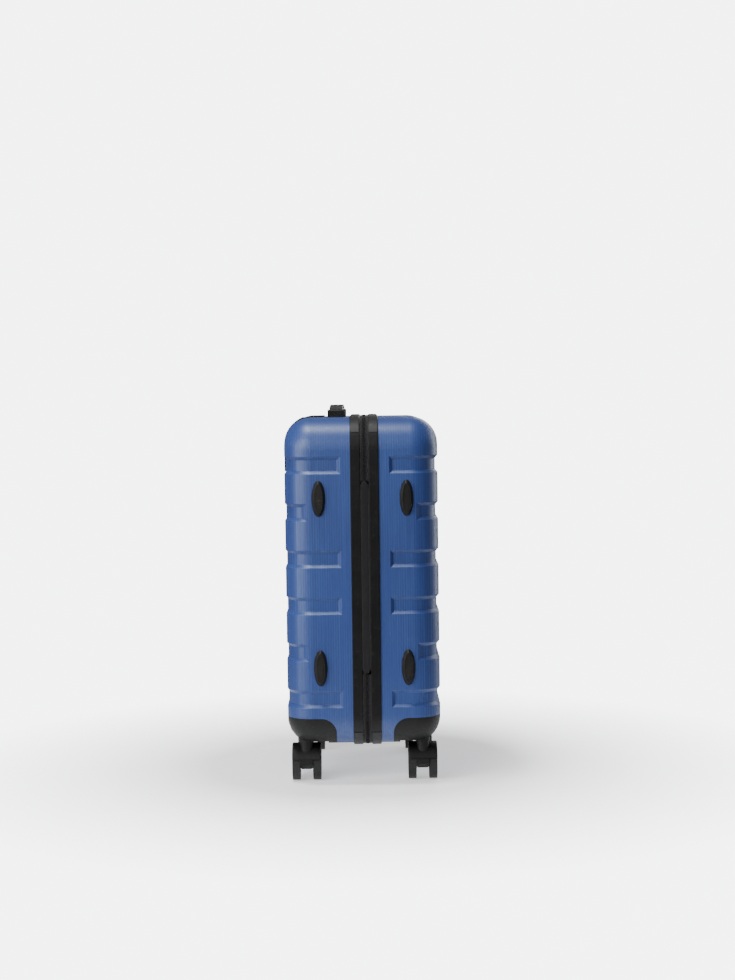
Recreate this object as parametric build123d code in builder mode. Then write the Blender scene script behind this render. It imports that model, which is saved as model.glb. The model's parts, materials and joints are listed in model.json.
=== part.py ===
from build123d import *
import os

os.makedirs("parts", exist_ok=True)

# A cabin-size hard shell suitcase on four twin-wheel casters, standing upright.
# Frame: +Z up from the floor, +X out of the lid's face, Y across the case's width.
# The lid is hinged along the narrow side at -Y and its zip opens at the +Y side.
# The origin is on the floor under the middle of the case.

# ---- driving dimensions, millimetres -----------------------------------------
CASE_DEPTH = 230.0          # X, over both shells
CASE_WIDTH = 350.0          # Y
CASE_HEIGHT = 492.0         # Z, shells only
FLOOR_GAP = 58.0            # floor to the underside of the shells
WALL = 2.2                  # shell skin
CORNER_R = 48.0             # corners of the shell's mouth, seen from the front
EDGE_R = 40.0               # rolled edge between the faces and the sides
ZIP_X = 5.0                 # plane in which the two shells meet
ZIP_HALF = 6.5              # half the soft strip between the two frames
FRAME_W = 14.5              # width of each shell's rim frame
FRAME_PROUD = 2.1           # frame's outer leg over the shell
FRAME_WEB = 1.7             # frame's web along the mouth
FRAME_LEG = 3.5             # depth of the frame's inner leg, from the skin's outside
FIT = 0.1                   # gap between pieces that are fixed to each other

GROOVE_ROWS = 6             # moulded grooves, counted from the top
GROOVE_PITCH = 69.7
GROOVE_TOP = 492.2          # top lip of the highest groove
GROOVE_OPEN = 25.7          # height of a groove at the surface
GROOVE_DEPTH = 4.0
GROOVE_RUN = 4.7            # run of a groove's slanted wall
GROOVE_LIP_R = 1.2
GROOVE_SPREAD = 0.368       # how much a groove widens for each millimetre below the skin
SHORT_ROWS = (1, 4)
SHORT_END = 81.0            # where the short grooves end, from the middle plane
LONG_END = {-1: 31.0, 1: 42.0}
BACK_PANEL = 85.0           # half width of the plain panel in the back face

GUARD_END = {-1: 41.0, 1: 44.0}
GUARD_Y = 95.0
GUARD_TOP = 102.0
GUARD_R = 23.0
GUARD_T = 2.3
WELL_X = 54.0               # raised well in the guard's underside, over the wheels
WELL_Y = 101.0
WELL_TOP = 63.5

WHEEL_R = 26.5
WHEEL_W = 11.8
WHEEL_GAP = 19.6            # between the two wheels of one caster
TREAD_ROUND = 4.4           # rounding of the tread's two edges
CASTER_X = 88.0
AXLE_Y = 118.0
SWIVEL_Y = 132.0
AXLE_R = 2.5
KINGPIN_R = 4.0
FENDER_R = 29.8
FENDER_T = 2.0
FENDER_END = 9.0            # lower ends of the fender, over the axle
WEB_DROP = 9.3              # underside of the web between the wheels, below the axle
BOSS_R = 9.5
NECK_R = 11.0
NECK_BOTTOM = 60.0
SOCKET_TOP = 78.0

FOOT_X = {-1: -63.5, 1: 67.0}
FOOT_Z = (178.0, 430.0)
FOOT_PROUD = 6.0
FOOT_BASE = (10.25, 27.0)   # half axes of the oval, at the shell
FOOT_CROWN = (6.9, 22.6)    # and at the crown
FOOT_RING = ((4.6, 19.6), (3.9, 18.9))  # ring engraved in the crown
FOOT_RING_DEPTH = 0.5

HANDLE_X = -36.5            # both carry handles stand on the back shell
SIDE_HANDLE_Z = 305.0

TUBE_X = -97.0              # trolley tubes, against the back wall
TUBE_Y = 50.0
TUBE_FOOT = 100.0
PULL_Z = 494.5              # floor of the grip's pocket
GRIP_R = 41.5
GRIP_CENTRE = (-75.0, 510.0)

LINING_T = 1.2
LINING_INSET = 7.0
LINING_FLOOR = {-1: -84.0, 1: 108.0}
LINING_FLOOR_R = {-1: 28.0, 1: 34.0}

LOCK_Z = 305.0
DIAL_X = (39.0, 47.0, 55.0)
DIAL_R = 4.8
DIAL_Y = 174.5
SLIDER_Z = {"upper": 330.0, "lower": 285.0}

# ---- worked out from them ------------------------------------------------------
MID_Z = FLOOR_GAP + CASE_HEIGHT / 2
TOP_Z = FLOOR_GAP + CASE_HEIGHT
HALF_D = CASE_DEPTH / 2
HALF_W = CASE_WIDTH / 2
HINGE_Z = (170.0, 455.0)    # the stretch of the hinge side that the hinge tape holds
SIDES = {"back": -1, "front": 1}
ENDS = {"hinge": -1, "lock": 1}


def rim_x(side, distance):
    """X of a plane that lies this far from the zip's middle, into one shell."""
    return ZIP_X + side * distance


def write(part, name):
    """Label a finished piece and write it to its own file."""
    part.label = name
    export_step(part, f"parts/{name}.step")


def rim_plate(start, end, offset):
    """A plate with the mouth's outline, grown by offset, from one X to another."""
    with BuildPart() as plate:
        with BuildSketch(Plane.YZ.offset(start)):
            with Locations((0, MID_Z)):
                RectangleRounded(CASE_WIDTH + 2 * offset, CASE_HEIGHT + 2 * offset, CORNER_R + offset)
        extrude(amount=end - start)
    return plate.part


def cut_away(body, *tools):
    """A body with others taken out of it."""
    with BuildPart() as rest:
        add(body)
        for tool in tools:
            add(tool, mode=Mode.SUBTRACT)
    return rest.part


def common(body, tool):
    """What two bodies share."""
    with BuildPart() as shared:
        add(body)
        add(tool, mode=Mode.INTERSECT)
    return shared.part


def rim_ring(start, end, outside, inside):
    """A ring that follows the mouth's outline, between two offsets from it."""
    return cut_away(rim_plate(start, end, outside), rim_plate(start, end, -inside))


def plain_form(side, inset):
    """The rounded block that one shell is drawn from, with no grooves."""
    mouth = rim_x(side, ZIP_HALF + FRAME_WEB + FIT)
    with BuildPart() as form:
        with BuildSketch(Plane.YZ.offset(mouth)):
            with Locations((0, MID_Z)):
                RectangleRounded(CASE_WIDTH - 2 * inset, CASE_HEIGHT - 2 * inset, CORNER_R - inset)
        extrude(amount=side * (HALF_D - inset) - mouth)
        outer_face = form.faces().sort_by(Axis.X)[0 if side < 0 else -1]
        fillet(outer_face.edges(), EDGE_R - inset)
    return form.part


def groove_z(row):
    return GROOVE_TOP - GROOVE_OPEN / 2 - row * GROOVE_PITCH


def groove_end(side, row):
    return SHORT_END if row in SHORT_ROWS else LONG_END[side]


def end_stop(side, end, row, inset):
    """A block whose slanted face ends a groove on one side wall."""
    widening = inset * GROOVE_SPREAD
    stop = side * (groove_end(side, row) - widening)
    wall = HALF_W - inset
    slope = GROOVE_RUN / GROOVE_DEPTH
    deep = GROOVE_DEPTH + 5          # past the floor, where the side rolls inwards
    with BuildPart() as block:
        with BuildSketch(Plane.XY.offset(groove_z(row) - GROOVE_OPEN)):
            Polygon(
                (stop - side * slope, end * (wall + 1)),
                (stop + side * slope * deep, end * (wall - deep)),
                (stop - side * 25, end * (wall - deep)),
                (stop - side * 25, end * (wall + 1)),
                align=None,
            )
        extrude(amount=2 * GROOVE_OPEN)
    return block.part


def panel_block(row, inset):
    """What the plain back panel keeps of a groove's bar, with slanted ends."""
    inner = BACK_PANEL - inset * GROOVE_SPREAD
    face = inset - HALF_D
    slope = GROOVE_RUN / GROOVE_DEPTH
    deep = GROOVE_DEPTH + 1
    with BuildPart() as block:
        with BuildSketch(Plane.XY.offset(groove_z(row) - GROOVE_OPEN)):
            Polygon(
                (face - 1, slope - inner),
                (face - 1, inner - slope),
                (face + deep, inner + slope * deep),
                (face + deep, -inner - slope * deep),
                align=None,
            )
        extrude(amount=2 * GROOVE_OPEN)
    return block.part


def groove_bar(side, row, inset):
    """What one moulded groove takes out of the block."""
    widening = inset * GROOVE_SPREAD
    wall = HALF_W - inset
    face = side * (HALF_D - inset)
    run_up = side * (groove_end(side, row) - 15)
    half = GROOVE_OPEN / 2 + widening
    slope = GROOVE_RUN / GROOVE_DEPTH
    stops = [end_stop(side, end, row, inset) for end in (-1, 1)]
    if side < 0:
        stops.append(panel_block(row, inset))
    with BuildPart() as bar:
        with BuildLine(Plane.XY.offset(groove_z(row))):
            path = FilletPolyline(
                (run_up, -wall), (face, -wall), (face, wall), (run_up, wall), radius=EDGE_R - inset
            )
        with BuildSketch(Plane(origin=path @ 0, x_dir=(0, -1, 0), z_dir=path % 0)):
            Polygon(
                (1, half + slope),
                (-GROOVE_DEPTH, half - GROOVE_RUN),
                (-GROOVE_DEPTH, GROOVE_RUN - half),
                (1, -half - slope),
                align=None,
            )
        sweep()
        for stop in stops:
            add(stop, mode=Mode.SUBTRACT)
    return bar.part


def groove_cutters(side, inset):
    return [groove_bar(side, row, inset) for row in range(GROOVE_ROWS)]


def on_groove(edge):
    """True for the edges that lie within one groove's height."""
    box = edge.bounding_box()
    for row in range(GROOVE_ROWS):
        if abs(box.min.Z - groove_z(row)) < GROOVE_OPEN / 2 + 0.4:
            if abs(box.max.Z - groove_z(row)) < GROOVE_OPEN / 2 + 0.4:
                return True
    return False


def guard_zone(side, end, grow):
    """The corner of the case that a wheel guard covers."""
    spread = (Align.MIN if side > 0 else Align.MAX, Align.MIN if end > 0 else Align.MAX)
    with BuildPart() as zone:
        with BuildSketch(Plane.XY.offset(GUARD_TOP + grow)):
            with Locations((side * (GUARD_END[side] - grow), end * (GUARD_Y - grow))):
                Rectangle(120, 120, align=spread)
        extrude(amount=-90)
        rim = zone.faces().sort_by(Axis.Z)[-1].edges()
        inner_x = rim.sort_by(Axis.X)[0 if side > 0 else -1]
        inner_y = rim.sort_by(Axis.Y)[0 if end > 0 else -1]
        fillet([inner_x, inner_y], GUARD_R + grow)
    return zone.part


def wheel_well(side, end, grow):
    """The raised well in a guard's underside."""
    size = 120.0
    with BuildPart() as well:
        with BuildSketch(Plane.XY.offset(WELL_TOP + grow)) as plan:
            with Locations((side * (WELL_X - grow + size / 2), end * (WELL_Y - grow + size / 2))):
                RectangleRounded(size, size, 12)
        extrude(amount=-40)
    return well.part


def cylinder_between(x, y, low, high, radius):
    with BuildPart() as rod:
        with BuildSketch(Plane.XY.offset(low)):
            with Locations((x, y)):
                Circle(radius)
        extrude(amount=high - low)
    return rod.part


def block_between(low, high):
    """A box from one corner to the opposite one."""
    with BuildPart() as block:
        with Locations(((low[0] + high[0]) / 2, (low[1] + high[1]) / 2, (low[2] + high[2]) / 2)):
            Box(high[0] - low[0], high[1] - low[1], high[2] - low[2])
    return block.part


# ---- shells ----------------------------------------------------------------------
def neck_hole(side, end):
    return cylinder_between(side * CASTER_X, end * SWIVEL_Y, 40, SOCKET_TOP + 8, NECK_R + 0.3)


def make_shell(side, openings):
    """One vacuum-formed shell: grooves, recesses for the guards, its hollow and openings."""
    form = plain_form(side, 0)
    cuts = groove_cutters(side, 0)
    inner_form = plain_form(side, WALL)
    inner_cuts = groove_cutters(side, WALL)
    floor_inset = GUARD_T + FIT
    recess_floor = plain_form(side, floor_inset)
    recess_back = plain_form(side, floor_inset + WALL)
    recesses = []
    for end in ENDS.values():
        recesses.append(cut_away(guard_zone(side, end, 0), recess_floor))
        recesses.append(wheel_well(side, end, floor_inset))
        inner_cuts.append(cut_away(guard_zone(side, end, WALL), recess_back))
        inner_cuts.append(wheel_well(side, end, floor_inset + WALL))
    holes = [neck_hole(side, end) for end in ENDS.values()] + openings
    hollow = cut_away(inner_form, *inner_cuts)
    with BuildPart() as shell:
        add(form)
        for cut in cuts:
            add(cut, mode=Mode.SUBTRACT)
        fillet(shell.edges().filter_by(on_groove), GROOVE_LIP_R)
        for cut in recesses + [hollow] + holes:
            add(cut, mode=Mode.SUBTRACT)
    return shell.part


def rim_frame(side):
    """The black channel that closes one shell's edge, with its outer edges rounded."""
    mouth = rim_x(side, ZIP_HALF)
    far = rim_x(side, ZIP_HALF + FRAME_W)
    inside = rim_plate(mouth, far, -FRAME_LEG)
    slot = rim_ring(rim_x(side, ZIP_HALF + FRAME_WEB), far, FIT, WALL + FIT)
    body = rim_plate(mouth, far, FRAME_PROUD)
    with BuildPart() as frame:
        add(body)
        ends = frame.faces().filter_by(Axis.X)
        fillet(ends.edges(), 0.8)
        add(inside, mode=Mode.SUBTRACT)
        add(slot, mode=Mode.SUBTRACT)
    return frame.part


def corner_caps(side):
    """Four patches over the corners of one frame."""
    start = rim_x(side, ZIP_HALF + 0.9)
    end = rim_x(side, ZIP_HALF + FRAME_W - 0.9)
    band = rim_ring(start, end, FRAME_PROUD + 0.7, -FRAME_PROUD)
    with BuildPart() as caps:
        add(band)
        with Locations((0, 0, MID_Z)):
            Box(100, 216, 700, mode=Mode.SUBTRACT)
            Box(100, 500, 448, mode=Mode.SUBTRACT)
    return caps.part


def zip_tape(side):
    """One half of the zip: a woven tape with the row of teeth along its free edge."""
    rim = rim_x(side, ZIP_HALF)
    free = rim_x(side, 0.3)
    bead_start = rim_x(side, 1.7)
    tape = rim_ring(rim, free, 0.9, 0.0)
    bead = rim_ring(bead_start, free, 1.7, -0.9)
    hinge_gap = block_between((-20, -HALF_W - 10, HINGE_Z[0]), (30, 0, HINGE_Z[1]))
    with BuildPart() as half:
        add(tape)
        add(bead)
        add(hinge_gap, mode=Mode.SUBTRACT)
    return half.part


# ---- wheel guards and casters --------------------------------------------------------
def make_guard(side, end):
    """A corner guard flush with the shell, with the caster's neck and socket."""
    x = side * CASTER_X
    y = end * SWIVEL_Y
    hollow = cut_away(plain_form(side, GUARD_T), wheel_well(side, end, GUARD_T))
    body = common(guard_zone(side, end, -0.15), plain_form(side, 0))
    skin = cut_away(body, hollow, wheel_well(side, end, 0))
    neck = cylinder_between(x, y, NECK_BOTTOM, SOCKET_TOP, NECK_R)
    bore = cylinder_between(x, y, NECK_BOTTOM - 1, SOCKET_TOP - 2, KINGPIN_R + 0.05)
    with BuildPart() as guard:
        add(skin)
        add(neck)
        add(bore, mode=Mode.SUBTRACT)
    return guard.part


def make_fork(side, end):
    """The swivelling fork: boss, fender over both wheels, and the web between them."""
    x = side * CASTER_X
    axle_y = end * AXLE_Y
    web = WHEEL_GAP / 2 - 0.4
    wide = WHEEL_GAP / 2 + WHEEL_W + 0.2
    inner_r = FENDER_R - FENDER_T
    axle_spot = (axle_y, WHEEL_R)
    fender_end = (axle_y, WHEEL_R + FENDER_END)
    boss = cylinder_between(x, end * SWIVEL_Y, 40, NECK_BOTTOM - 0.3, BOSS_R)
    pin_hole = cylinder_between(x, end * SWIVEL_Y, 44, NECK_BOTTOM, KINGPIN_R + 0.02)
    with BuildPart() as fork:
        with BuildSketch(Plane.YZ.offset(x)):
            with Locations(axle_spot):
                Circle(FENDER_R)
                Circle(inner_r, mode=Mode.SUBTRACT)
            with Locations(fender_end):
                Rectangle(80, 60, align=(Align.CENTER, Align.MAX), mode=Mode.SUBTRACT)
        extrude(amount=wide, both=True)
        arches = fork.faces().filter_by(Axis.X).edges().filter_by(GeomType.CIRCLE)
        fillet(arches.filter_by(lambda arch: arch.radius > inner_r + 1), FENDER_T - 0.4)
        add(boss)
        with BuildSketch(Plane.YZ.offset(x + wide + 1)):
            with Locations(axle_spot):
                Circle(inner_r)
        extrude(amount=-2 * wide - 2, mode=Mode.SUBTRACT)
        with BuildSketch(Plane.YZ.offset(x)):
            with Locations(axle_spot):
                Circle(inner_r + 0.5)
                Rectangle(80, 40, align=(Align.CENTER, Align.MAX), mode=Mode.SUBTRACT)
                Polygon((-22, 0.1), (22, 0.1), (8, -WEB_DROP), (-8, -WEB_DROP), align=None)
        extrude(amount=web, both=True)
        chamfer(fork.edges().filter_by(Axis.Y).group_by(Axis.Z)[0], 2.5)
        with BuildSketch(Plane.YZ.offset(x)):
            with Locations(axle_spot):
                Circle(AXLE_R + 0.02)
        extrude(amount=wide, both=True, mode=Mode.SUBTRACT)
        add(pin_hole, mode=Mode.SUBTRACT)
    return fork.part


def make_pins(side, end):
    """The steel kingpin and the wheels' axle of one caster."""
    x = side * CASTER_X
    kingpin = cylinder_between(x, end * SWIVEL_Y, 44, SOCKET_TOP - 2.5, KINGPIN_R)
    with BuildPart() as pins:
        add(kingpin)
        with BuildSketch(Plane.YZ.offset(x)):
            with Locations((end * AXLE_Y, WHEEL_R)):
                Circle(AXLE_R)
        extrude(amount=WHEEL_GAP / 2 + WHEEL_W - 1.4, both=True)
    return pins.part


def make_wheel(side, end, hand):
    """One wheel: rounded tread, dished outer face, and a blind bore for the axle."""
    centre = (side * CASTER_X, end * AXLE_Y, WHEEL_R)
    inner = WHEEL_GAP / 2
    outer = inner + WHEEL_W
    with BuildPart() as wheel:
        with BuildSketch(Plane(origin=centre, x_dir=(hand, 0, 0), z_dir=(0, -hand, 0))) as half:
            Polygon(
                (inner, AXLE_R + 0.05),
                (inner, WHEEL_R),
                (outer, WHEEL_R),
                (outer, WHEEL_R - 6.5),
                (outer - 1.4, WHEEL_R - 8.0),
                (outer - 1.4, 7.5),
                (outer, 6.3),
                (outer, 0),
                (outer - 0.9, 0),
                (outer - 0.9, AXLE_R + 0.05),
                align=None,
            )
            tread = half.vertices().filter_by(lambda spot: abs(spot.Z - 2 * WHEEL_R) < 0.01)
            fillet(tread, TREAD_ROUND)
        revolve(axis=Axis(centre, (1, 0, 0)))
    return wheel.part


# ---- feet and carry handles ------------------------------------------------------------
def side_feet(side):
    """Two oval feet that the case rests on when it lies on its hinge side."""
    with BuildPart() as feet:
        for z in FOOT_Z:
            base = Plane(origin=(FOOT_X[side], -HALF_W, z), x_dir=(1, 0, 0), z_dir=(0, -1, 0))
            with BuildSketch(base):
                Ellipse(*FOOT_BASE)
            with BuildSketch(base.offset(FOOT_PROUD)):
                Ellipse(*FOOT_CROWN)
            loft()
        crowns = feet.faces().group_by(Axis.Y)[0]
        fillet(crowns.edges(), 0.7)
        for z in FOOT_Z:
            crown = Plane(
                origin=(FOOT_X[side], -HALF_W - FOOT_PROUD, z), x_dir=(1, 0, 0), z_dir=(0, -1, 0)
            )
            with BuildSketch(crown):
                Ellipse(*FOOT_RING[0])
                Ellipse(*FOOT_RING[1], mode=Mode.SUBTRACT)
            extrude(amount=-FOOT_RING_DEPTH, mode=Mode.SUBTRACT)
    return feet.part


# Each carry handle is drawn on a plane through its middle: local X along the grip,
# local Y away from the shell.
TOP_HANDLE = Plane(origin=(HANDLE_X, 0, TOP_Z), x_dir=(0, 1, 0), z_dir=(1, 0, 0))
SIDE_HANDLE = Plane(origin=(HANDLE_X, HALF_W, SIDE_HANDLE_Z), x_dir=(0, 0, 1), z_dir=(-1, 0, 0))
GRIP_END = 104.0            # half length of a carry grip
GRIP_HALF_W = 11.0
SCREW_SPOTS = [(along, across) for along in (-107.2, 107.2) for across in (-7.0, 7.0)]
TONGUE = (85.0, 99.0)       # the grip's tongue, which slides in the bracket's well
TONGUE_DROP = 4.9


def carry_grip(plane, crown, thickness):
    """An arched grip with a tongue at each end that slides in its bracket."""
    near, far = TONGUE
    shoulder = 3.2
    with BuildPart() as grip:
        with BuildSketch(plane):
            with BuildLine():
                Polyline(
                    (-near, shoulder),
                    (-near, -TONGUE_DROP),
                    (-far, -TONGUE_DROP),
                    (-far, shoulder),
                    (-GRIP_END, shoulder),
                    (-GRIP_END, shoulder + 4.6),
                )
                ThreePointArc((-GRIP_END, shoulder + 4.6), (0, crown), (GRIP_END, shoulder + 4.6))
                Polyline(
                    (GRIP_END, shoulder + 4.6),
                    (GRIP_END, shoulder),
                    (far, shoulder),
                    (far, -TONGUE_DROP),
                    (near, -TONGUE_DROP),
                    (near, shoulder),
                )
                ThreePointArc((near, shoulder), (0, crown - thickness), (-near, shoulder))
            make_face()
        extrude(amount=GRIP_HALF_W, both=True)
        long_arcs = grip.edges().filter_by(GeomType.CIRCLE)
        fillet(long_arcs, 2.2)
        for hand in (-1, 1):
            with BuildSketch(plane.offset(hand * 8)):
                with Locations((0, shoulder - 0.4)):
                    Rectangle(2 * far + 10, 20, align=(Align.CENTER, Align.MAX))
            extrude(amount=hand * 10, mode=Mode.SUBTRACT)
    return grip.part


def handle_brackets(plane, height):
    """The two brackets of one carry handle, each with a well for the grip's tongue."""
    near, far = TONGUE
    with BuildPart() as brackets:
        with BuildSketch(plane):
            with Locations((-93, 0), (93, 0)):
                Rectangle(34, height, align=(Align.CENTER, Align.MIN))
        extrude(amount=GRIP_HALF_W + 2, both=True)
        across = brackets.edges().filter_by(Axis(plane.origin, plane.z_dir))
        fillet(across.group_by(Axis(plane.origin, plane.y_dir))[-1], 2.5)
        for hand in (-1, 1):
            with BuildSketch(plane):
                with Locations((hand * (near + far) / 2, 1)):
                    Rectangle(18, 7.7, align=(Align.CENTER, Align.MAX))
            extrude(amount=9.8, both=True)
            with BuildSketch(plane):
                with Locations((hand * (GRIP_END + 0.4), 2.4)):
                    Rectangle(60, 30, align=(Align.MAX if hand > 0 else Align.MIN, Align.MIN))
            extrude(amount=GRIP_HALF_W + 0.35, both=True, mode=Mode.SUBTRACT)
            with BuildSketch(plane):
                with Locations((hand * (near + far) / 2, 5)):
                    Rectangle(far - near + 0.8, 10.25, align=(Align.CENTER, Align.MAX))
            extrude(amount=8.35, both=True, mode=Mode.SUBTRACT)
    return brackets.part


def well_holes(plane):
    """The openings in the shell that the brackets' wells pass through."""
    with BuildPart() as holes:
        with BuildSketch(plane):
            with Locations((-92, -4), (92, -4)):
                Rectangle(18.4, 12)
        extrude(amount=10.0, both=True)
    return holes.part


def handle_screws(plane):
    """Screws from inside the shell into the outer end of each bracket."""
    inside = plane.y_dir * -1
    with BuildPart() as screws:
        for along, across in SCREW_SPOTS:
            seat = plane.origin + plane.x_dir * along + plane.z_dir * across + inside * WALL
            with BuildSketch(Plane(origin=seat, z_dir=inside)):
                Circle(2.8)
            extrude(amount=1.8)
            with BuildSketch(Plane(origin=seat, z_dir=inside)):
                Circle(1.2)
            extrude(amount=-WALL - 5.5)
    return screws.part


def screw_holes(plane, radius):
    """Straight holes for those screws, through the skin and into the bracket."""
    with BuildPart() as holes:
        for along, across in SCREW_SPOTS:
            foot = plane.origin + plane.x_dir * along + plane.z_dir * across - plane.y_dir * 5
            with BuildSketch(Plane(origin=foot, z_dir=plane.y_dir)):
                Circle(radius)
            extrude(amount=11.0)
    return holes.part


# ---- trolley ---------------------------------------------------------------------------
OUTER_TUBE = (17.0, 23.0)
MIDDLE_TUBE = (14.2, 20.2)
INNER_TUBE = (11.4, 17.4)
TUBE_T = 1.0
POCKET_X = -72.0
POCKET_Y = 72.5
GRIP_BOTTOM = 513.0
GRIP_FRONT = -79.0
GRIP_HALF = 66.0
BUTTON_X = (-104.0, -90.0)
BUTTON_HALF = 20.0
YOKE_Z = (531.0, 537.0)
YOKE_HALF = 54.0


def tube_pair(size, low, high, wall):
    """Both tubes of one trolley stage, or two solid bars when wall is zero."""
    with BuildPart() as tubes:
        with BuildSketch(Plane.XY.offset(low)):
            with Locations((TUBE_X, -TUBE_Y), (TUBE_X, TUBE_Y)):
                RectangleRounded(size[0], size[1], 2.5)
                if wall > 0:
                    RectangleRounded(size[0] - 2 * wall, size[1] - 2 * wall, 1.5, mode=Mode.SUBTRACT)
        extrude(amount=high - low)
    return tubes.part


def arc_block(radius, x_range, z_range, half_length):
    """A bar along Y under an arc about the grip's centre, cut to a box."""
    with BuildPart() as bar:
        with BuildSketch(Plane.XZ) as section:
            with Locations(GRIP_CENTRE):
                Circle(radius)
            with Locations((x_range[0], z_range[0])):
                wide = x_range[1] - x_range[0]
                tall = z_range[1] - z_range[0]
                Rectangle(wide, tall, align=Align.MIN, mode=Mode.INTERSECT)
        extrude(amount=half_length, both=True)
    return bar.part


def make_bezel():
    """The trolley's housing: a flange over the top edge and a cup for the grip."""
    skin = cut_away(plain_form(-1, -2.0), plain_form(-1, 0))
    patch = block_between((-130, -80, 468), (-58, 80, 560))
    cup_block = block_between((-130, -75, PULL_Z - 2), (POCKET_X + 2, 75, 560))
    cup = common(cup_block, plain_form(-1, -2.0))
    flange = common(skin, patch)
    pocket = block_between((-130, -POCKET_Y, PULL_Z), (POCKET_X, POCKET_Y, 570))
    holes = tube_pair((MIDDLE_TUBE[0] + 0.7, MIDDLE_TUBE[1] + 0.7), PULL_Z - 5, PULL_Z + 5, 0)
    with BuildPart() as bezel:
        add(flange)
        add(cup)
        add(pocket, mode=Mode.SUBTRACT)
        add(holes, mode=Mode.SUBTRACT)
    return bezel.part


def make_trolley_grip():
    """The pull grip, which fills the rolled edge when the trolley is down."""
    body = arc_block(GRIP_R, (-120, GRIP_FRONT), (GRIP_BOTTOM, 570), GRIP_HALF)
    sockets = tube_pair((INNER_TUBE[0] + 0.06, INNER_TUBE[1] + 0.06), GRIP_BOTTOM - 1, 525.1, 0)
    yoke_room = block_between((-99.6, -YOKE_HALF - 0.6, 525), (-94.4, YOKE_HALF + 0.6, YOKE_Z[1] + 0.4))
    slot = block_between(
        (BUTTON_X[0] - 0.3, -BUTTON_HALF - 0.3, YOKE_Z[1] - 3), (BUTTON_X[1] + 0.3, BUTTON_HALF + 0.3, 560)
    )
    with BuildPart() as grip:
        add(body)
        fillet(grip.faces().filter_by(Axis.Y).edges(), 3.0)
        add(sockets, mode=Mode.SUBTRACT)
        add(yoke_room, mode=Mode.SUBTRACT)
        add(slot, mode=Mode.SUBTRACT)
    return grip.part


def make_trolley_button():
    """The release button in the grip, with the yoke that pushes both rods."""
    cap = arc_block(GRIP_R + 1.5, BUTTON_X, (YOKE_Z[1] + 0.7, 570), BUTTON_HALF)
    stem = block_between((-99, -12, YOKE_Z[0]), (-95, 12, YOKE_Z[1] + 1))
    yoke = block_between((-99, -YOKE_HALF, YOKE_Z[0]), (-95, YOKE_HALF, YOKE_Z[1]))
    with BuildPart() as button:
        add(cap)
        fillet(button.faces().filter_by(Axis.Y).edges(), 0.8)
        add(stem)
        add(yoke)
    return button.part


def make_push_rods():
    with BuildPart() as rods:
        with BuildSketch(Plane.XY.offset(TUBE_FOOT + 32)):
            with Locations((TUBE_X, -TUBE_Y), (TUBE_X, TUBE_Y)):
                Circle(2.0)
        extrude(amount=YOKE_Z[0] - TUBE_FOOT - 32)
    return rods.part


def make_trolley_base():
    """The bracket that holds the feet of the outer tubes against the back wall."""
    body = block_between((-HALF_D + WALL, -68, TUBE_FOOT), (-86, 68, TUBE_FOOT + 18))
    sockets = tube_pair((OUTER_TUBE[0] + 0.1, OUTER_TUBE[1] + 0.1), TUBE_FOOT + 3, TUBE_FOOT + 40, 0)
    with BuildPart() as base:
        add(body)
        fillet(base.edges().filter_by(Axis.X), 5.0)
        add(sockets, mode=Mode.SUBTRACT)
    return base.part


def tube_glides(size, low):
    """Plastic plugs in the feet of one stage's tubes."""
    plug = (size[0] - 2 * TUBE_T - 0.1, size[1] - 2 * TUBE_T - 0.1)
    flanges = tube_pair(size, low - 3, low, 0)
    plugs = tube_pair(plug, low, low + 5, 0)
    with BuildPart() as glides:
        add(flanges)
        add(plugs)
    return glides.part


# ---- lock and zip -----------------------------------------------------------------------
def make_lock_case():
    """The lock's plate with a boxed back, the dials' axle and the button's well."""
    face = Plane(origin=(61, HALF_W, LOCK_Z), x_dir=(1, 0, 0), z_dir=(0, -1, 0))
    dial_back = block_between((33, 168.7, LOCK_Z - 7), (62, HALF_W, LOCK_Z + 7))
    button_back = block_between((68.5, 170.4, LOCK_Z - 6.5), (85.5, HALF_W, LOCK_Z + 6.5))
    button_well = block_between((69.7, 171.0, LOCK_Z - 5.3), (84.3, 190, LOCK_Z + 5.3))
    slots = [block_between((x - 2.5, 169.4, LOCK_Z - 5.3), (x + 2.5, 190, LOCK_Z + 5.3)) for x in DIAL_X]
    with BuildPart() as case:
        with BuildSketch(face):
            RectangleRounded(64, 28, 6)
        extrude(amount=-3.6)
        fillet(case.faces().sort_by(Axis.Y)[-1].edges(), 1.0)
        add(dial_back)
        add(button_back)
        for slot in slots + [button_well]:
            add(slot, mode=Mode.SUBTRACT)
        with BuildSketch(Plane(origin=(34.5, DIAL_Y, LOCK_Z), z_dir=(1, 0, 0))):
            Circle(1.0)
        extrude(amount=26)
    return case.part


def make_dial(x):
    """A numbered thumbwheel with ten finger notches."""
    with BuildPart() as dial:
        with BuildSketch(Plane(origin=(x, DIAL_Y, LOCK_Z), z_dir=(1, 0, 0))):
            Circle(DIAL_R)
            Circle(1.07, mode=Mode.SUBTRACT)
            with PolarLocations(DIAL_R, 10, start_angle=18):
                Circle(0.45, mode=Mode.SUBTRACT)
        extrude(amount=2.2, both=True)
    return dial.part


def make_lock_button():
    body = block_between((70, 173.4, LOCK_Z - 5), (84, 179.8, LOCK_Z + 5))
    with BuildPart() as button:
        add(body)
        fillet(button.edges().filter_by(Axis.Y), 1.5)
        fillet(button.faces().sort_by(Axis.Y)[-1].edges(), 0.6)
    return button.part


EYE_Y = 183.0
EYE_DROP = 3.0              # the pull's pin is this far below the slider's middle


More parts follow.
